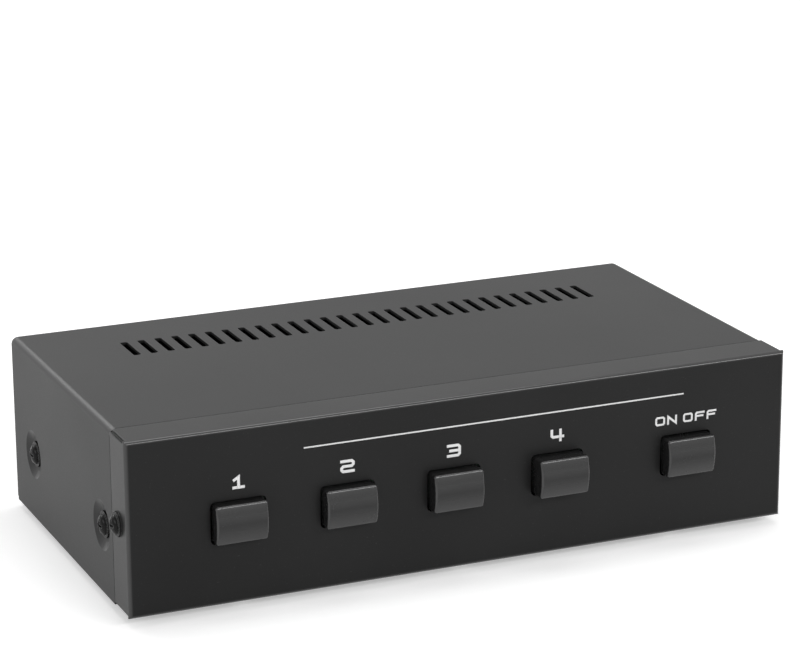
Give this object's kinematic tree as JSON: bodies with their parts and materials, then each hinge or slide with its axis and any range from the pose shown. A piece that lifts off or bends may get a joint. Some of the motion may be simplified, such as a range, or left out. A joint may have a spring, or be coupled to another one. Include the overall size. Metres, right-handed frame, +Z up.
{
  "type": "speaker selector switch",
  "caption": "Low black steel box with a row of push buttons on the front and blocks of spring-clip wire terminals on the rear, to send one amplifier to several speaker pairs.",
  "frame": {"origin": "on the floor, under the middle of the whole object with its buttons and levers", "axes": "+X right seen from the front, -Y towards the front with the buttons, +Z up"},
  "size_m": [0.233, 0.1376, 0.0603],
  "materials": {
    "case_paint": "satin powder coat",
    "cover_paint": "satin powder coat",
    "panel_paint": "satin powder coat",
    "foot_rubber": "matte",
    "black_screw": "black zinc",
    "zinc_screw": "zinc plated",
    "pillar_brass": "turned",
    "cap_plastic": "satin",
    "stem_plastic": "moulded",
    "switch_plastic": "moulded",
    "block_plastic": "moulded",
    "red_lever": "moulded",
    "black_lever": "moulded",
    "contact_metal": "tin plated",
    "circuit_board": "solder resist",
    "resistor_body": "cement",
    "header_plastic": "moulded",
    "ribbon_skin": "grey ribbon"
  },
  "bodies": {
    "case": {"board_pillars": "pillar_brass", "board_screws": "zinc_screw", "chassis": "case_paint", "contacts_input": "contact_metal", "contacts_output_far": "contact_metal", "contacts_output_near": "contact_metal", "cover_screws": "black_screw", "foot_screws": "zinc_screw", "front_panel": "panel_paint", "panel_base_screws": "zinc_screw", "panel_side_screws": "black_screw", "protection_resistors": "resistor_body", "ribbon_cables": "ribbon_skin", "ribbon_headers": "header_plastic", "rubber_feet": "foot_rubber", "switch_board": "circuit_board", "switch_housing_1": "switch_plastic", "switch_housing_2": "switch_plastic", "switch_housing_3": "switch_plastic", "switch_housing_4": "switch_plastic", "switch_housing_5": "switch_plastic", "switch_pins": "contact_metal", "terminal_block_input": "block_plastic", "terminal_block_output_far": "block_plastic", "terminal_block_output_near": "block_plastic", "terminal_board": "circuit_board", "top_cover": "cover_paint"},
    "button_1": {"button_cap_1": "cap_plastic", "switch_stem_1": "stem_plastic"},
    "button_2": {"button_cap_2": "cap_plastic", "switch_stem_2": "stem_plastic"},
    "button_3": {"button_cap_3": "cap_plastic", "switch_stem_3": "stem_plastic"},
    "button_4": {"button_cap_4": "cap_plastic", "switch_stem_4": "stem_plastic"},
    "button_5": {"button_cap_5": "cap_plastic", "switch_stem_5": "stem_plastic"},
    "lever_input_black_1": {"lever_input_black_1": "black_lever"},
    "lever_input_black_2": {"lever_input_black_2": "black_lever"},
    "lever_input_red_1": {"lever_input_red_1": "red_lever"},
    "lever_input_red_2": {"lever_input_red_2": "red_lever"},
    "lever_output_far_black_1": {"lever_output_far_black_1": "black_lever"},
    "lever_output_far_black_2": {"lever_output_far_black_2": "black_lever"},
    "lever_output_far_black_3": {"lever_output_far_black_3": "black_lever"},
    "lever_output_far_black_4": {"lever_output_far_black_4": "black_lever"},
    "lever_output_far_red_1": {"lever_output_far_red_1": "red_lever"},
    "lever_output_far_red_2": {"lever_output_far_red_2": "red_lever"},
    "lever_output_far_red_3": {"lever_output_far_red_3": "red_lever"},
    "lever_output_far_red_4": {"lever_output_far_red_4": "red_lever"},
    "lever_output_near_black_1": {"lever_output_near_black_1": "black_lever"},
    "lever_output_near_black_2": {"lever_output_near_black_2": "black_lever"},
    "lever_output_near_black_3": {"lever_output_near_black_3": "black_lever"},
    "lever_output_near_black_4": {"lever_output_near_black_4": "black_lever"},
    "lever_output_near_red_1": {"lever_output_near_red_1": "red_lever"},
    "lever_output_near_red_2": {"lever_output_near_red_2": "red_lever"},
    "lever_output_near_red_3": {"lever_output_near_red_3": "red_lever"},
    "lever_output_near_red_4": {"lever_output_near_red_4": "red_lever"}
  },
  "joints": [
    {"name": "button_1_push", "type": "slide", "parent": "case", "child": "button_1", "axis": [0, 1, 0], "range_m": [0, 0.003], "stiffness_N_per_m": 450, "springref_m": -0.0015},
    {"name": "button_2_push", "type": "slide", "parent": "case", "child": "button_2", "axis": [0, 1, 0], "range_m": [0, 0.003], "stiffness_N_per_m": 450, "springref_m": -0.0015},
    {"name": "button_3_push", "type": "slide", "parent": "case", "child": "button_3", "axis": [0, 1, 0], "range_m": [0, 0.003], "stiffness_N_per_m": 450, "springref_m": -0.0015},
    {"name": "button_4_push", "type": "slide", "parent": "case", "child": "button_4", "axis": [0, 1, 0], "range_m": [0, 0.003], "stiffness_N_per_m": 450, "springref_m": -0.0015},
    {"name": "button_5_push", "type": "slide", "parent": "case", "child": "button_5", "axis": [0, 1, 0], "range_m": [0, 0.003], "stiffness_N_per_m": 450, "springref_m": -0.0015},
    {"name": "lever_input_black_1_pivot", "type": "hinge", "parent": "case", "child": "lever_input_black_1", "pos_m": [0.08975, 0.063, 0.0196], "axis": [-1, 0, 0], "range_deg": [0, 16], "stiffness_Nm_per_rad": 0.05, "springref_deg": -8.59},
    {"name": "lever_input_black_2_pivot", "type": "hinge", "parent": "case", "child": "lever_input_black_2", "pos_m": [0.07585, 0.063, 0.0196], "axis": [-1, 0, 0], "range_deg": [0, 16], "stiffness_Nm_per_rad": 0.05, "springref_deg": -8.59},
    {"name": "lever_input_red_1_pivot", "type": "hinge", "parent": "case", "child": "lever_input_red_1", "pos_m": [0.08975, 0.063, 0.0484], "axis": [1, 0, 0], "range_deg": [0, 16], "stiffness_Nm_per_rad": 0.05, "springref_deg": -8.59},
    {"name": "lever_input_red_2_pivot", "type": "hinge", "parent": "case", "child": "lever_input_red_2", "pos_m": [0.07585, 0.063, 0.0484], "axis": [1, 0, 0], "range_deg": [0, 16], "stiffness_Nm_per_rad": 0.05, "springref_deg": -8.59},
    {"name": "lever_output_far_black_1_pivot", "type": "hinge", "parent": "case", "child": "lever_output_far_black_1", "pos_m": [-0.04095, 0.063, 0.0196], "axis": [-1, 0, 0], "range_deg": [0, 16], "stiffness_Nm_per_rad": 0.05, "springref_deg": -8.59},
    {"name": "lever_output_far_black_2_pivot", "type": "hinge", "parent": "case", "child": "lever_output_far_black_2", "pos_m": [-0.05485, 0.063, 0.0196], "axis": [-1, 0, 0], "range_deg": [0, 16], "stiffness_Nm_per_rad": 0.05, "springref_deg": -8.59},
    {"name": "lever_output_far_black_3_pivot", "type": "hinge", "parent": "case", "child": "lever_output_far_black_3", "pos_m": [-0.06875, 0.063, 0.0196], "axis": [-1, 0, 0], "range_deg": [0, 16], "stiffness_Nm_per_rad": 0.05, "springref_deg": -8.59},
    {"name": "lever_output_far_black_4_pivot", "type": "hinge", "parent": "case", "child": "lever_output_far_black_4", "pos_m": [-0.08265, 0.063, 0.0196], "axis": [-1, 0, 0], "range_deg": [0, 16], "stiffness_Nm_per_rad": 0.05, "springref_deg": -8.59},
    {"name": "lever_output_far_red_1_pivot", "type": "hinge", "parent": "case", "child": "lever_output_far_red_1", "pos_m": [-0.04095, 0.063, 0.0484], "axis": [1, 0, 0], "range_deg": [0, 16], "stiffness_Nm_per_rad": 0.05, "springref_deg": -8.59},
    {"name": "lever_output_far_red_2_pivot", "type": "hinge", "parent": "case", "child": "lever_output_far_red_2", "pos_m": [-0.05485, 0.063, 0.0484], "axis": [1, 0, 0], "range_deg": [0, 16], "stiffness_Nm_per_rad": 0.05, "springref_deg": -8.59},
    {"name": "lever_output_far_red_3_pivot", "type": "hinge", "parent": "case", "child": "lever_output_far_red_3", "pos_m": [-0.06875, 0.063, 0.0484], "axis": [1, 0, 0], "range_deg": [0, 16], "stiffness_Nm_per_rad": 0.05, "springref_deg": -8.59},
    {"name": "lever_output_far_red_4_pivot", "type": "hinge", "parent": "case", "child": "lever_output_far_red_4", "pos_m": [-0.08265, 0.063, 0.0484], "axis": [1, 0, 0], "range_deg": [0, 16], "stiffness_Nm_per_rad": 0.05, "springref_deg": -8.59},
    {"name": "lever_output_near_black_1_pivot", "type": "hinge", "parent": "case", "child": "lever_output_near_black_1", "pos_m": [0.03945, 0.063, 0.0196], "axis": [-1, 0, 0], "range_deg": [0, 16], "stiffness_Nm_per_rad": 0.05, "springref_deg": -8.59},
    {"name": "lever_output_near_black_2_pivot", "type": "hinge", "parent": "case", "child": "lever_output_near_black_2", "pos_m": [0.02555, 0.063, 0.0196], "axis": [-1, 0, 0], "range_deg": [0, 16], "stiffness_Nm_per_rad": 0.05, "springref_deg": -8.59},
    {"name": "lever_output_near_black_3_pivot", "type": "hinge", "parent": "case", "child": "lever_output_near_black_3", "pos_m": [0.01165, 0.063, 0.0196], "axis": [-1, 0, 0], "range_deg": [0, 16], "stiffness_Nm_per_rad": 0.05, "springref_deg": -8.59},
    {"name": "lever_output_near_black_4_pivot", "type": "hinge", "parent": "case", "child": "lever_output_near_black_4", "pos_m": [-0.00225, 0.063, 0.0196], "axis": [-1, 0, 0], "range_deg": [0, 16], "stiffness_Nm_per_rad": 0.05, "springref_deg": -8.59},
    {"name": "lever_output_near_red_1_pivot", "type": "hinge", "parent": "case", "child": "lever_output_near_red_1", "pos_m": [0.03945, 0.063, 0.0484], "axis": [1, 0, 0], "range_deg": [0, 16], "stiffness_Nm_per_rad": 0.05, "springref_deg": -8.59},
    {"name": "lever_output_near_red_2_pivot", "type": "hinge", "parent": "case", "child": "lever_output_near_red_2", "pos_m": [0.02555, 0.063, 0.0484], "axis": [1, 0, 0], "range_deg": [0, 16], "stiffness_Nm_per_rad": 0.05, "springref_deg": -8.59},
    {"name": "lever_output_near_red_3_pivot", "type": "hinge", "parent": "case", "child": "lever_output_near_red_3", "pos_m": [0.01165, 0.063, 0.0484], "axis": [1, 0, 0], "range_deg": [0, 16], "stiffness_Nm_per_rad": 0.05, "springref_deg": -8.59},
    {"name": "lever_output_near_red_4_pivot", "type": "hinge", "parent": "case", "child": "lever_output_near_red_4", "pos_m": [-0.00225, 0.063, 0.0484], "axis": [1, 0, 0], "range_deg": [0, 16], "stiffness_Nm_per_rad": 0.05, "springref_deg": -8.59}
  ]
}
